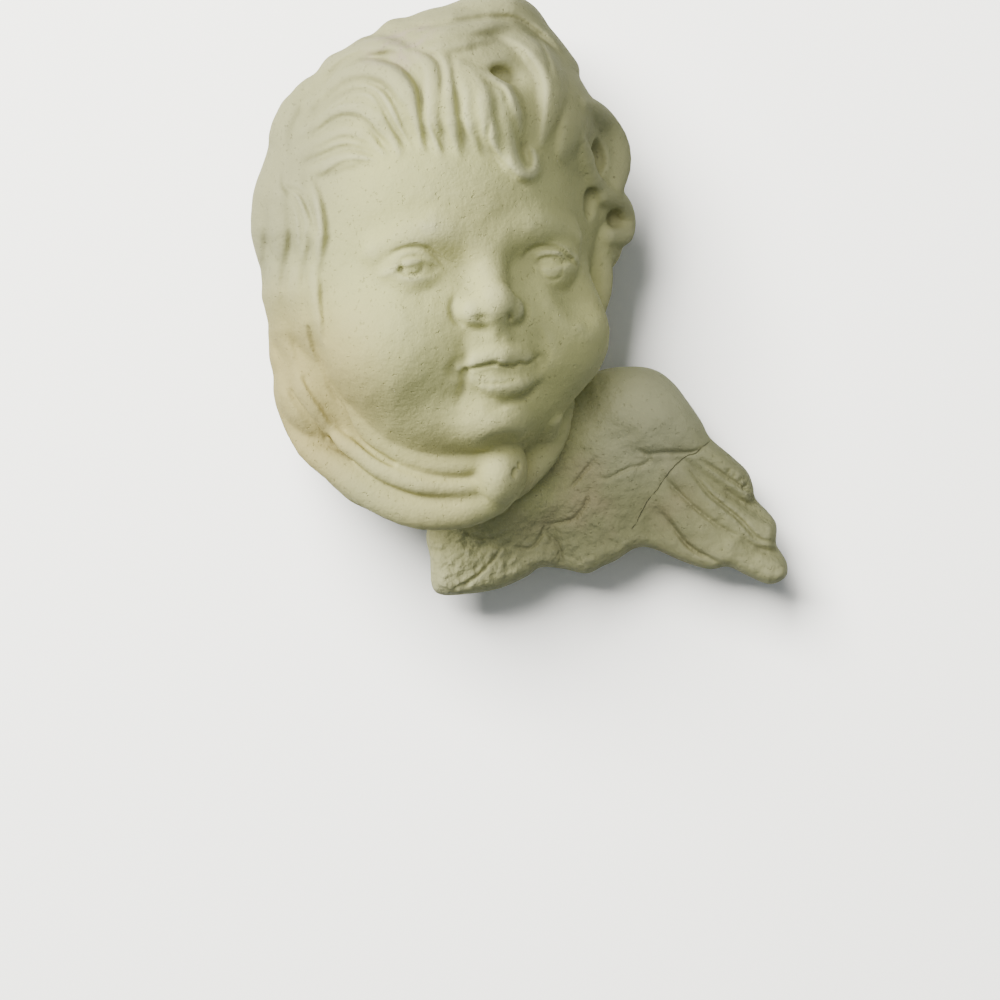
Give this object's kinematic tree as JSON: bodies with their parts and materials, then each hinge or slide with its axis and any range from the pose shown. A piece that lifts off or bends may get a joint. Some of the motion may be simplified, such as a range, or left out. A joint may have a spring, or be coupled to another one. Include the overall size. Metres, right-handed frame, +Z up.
{
  "type": "cherub wall plaque",
  "caption": "Flat-backed plaster wall plaque: a child's head with carved curls, turned a little to one side, over a feathered wing.",
  "frame": {"origin": "point of the flat back behind the bridge of the nose, on the wall", "axes": "+Y points out of the flat back into the wall and the face looks towards -Y, +Z is up, +X is the viewer's right, where the wing is"},
  "size_m": [0.1483, 0.0725, 0.1622],
  "materials": {
    "plaster": "matte, unpainted off-white plaster with a pale green-yellow tint, fine pores and dust in the hollows"
  },
  "bodies": {
    "root": {"cherub_casting": "plaster"}
  },
  "joints": []
}
